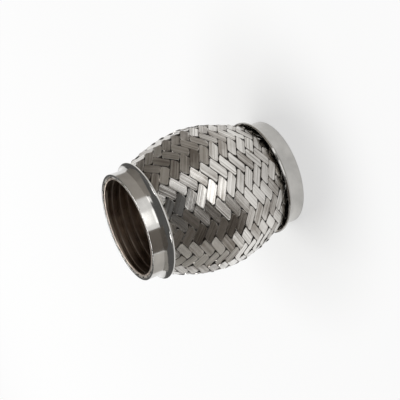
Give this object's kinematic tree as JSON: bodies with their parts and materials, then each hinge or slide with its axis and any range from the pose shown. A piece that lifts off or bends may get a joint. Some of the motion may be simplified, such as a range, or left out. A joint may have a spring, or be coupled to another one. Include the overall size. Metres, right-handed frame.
{
  "type": "exhaust flex pipe",
  "caption": "Short flexible exhaust pipe: a barrel of woven steel braid over a bellows and an interlocked strip liner, gripped at each end by a flared collar that takes the exhaust tubes.",
  "frame": {"origin": "centre of the outlet rim, on the surface that the pipe stands on", "axes": "+Z along the pipe's axis from the outlet rim to the inlet rim; -Y faces the viewer of the picture"},
  "size_m": [0.0856, 0.0856, 0.1],
  "materials": {
    "collar_steel": "polished stainless sheet",
    "braid_steel": "woven stainless wire",
    "bellows_steel": "formed stainless sheet",
    "liner_steel": "folded stainless strip"
  },
  "bodies": {
    "root": {"inlet_collar": "collar_steel", "outlet_collar": "collar_steel", "outer_braid": "braid_steel", "bellows": "bellows_steel", "interlock_liner": "liner_steel"}
  },
  "joints": []
}
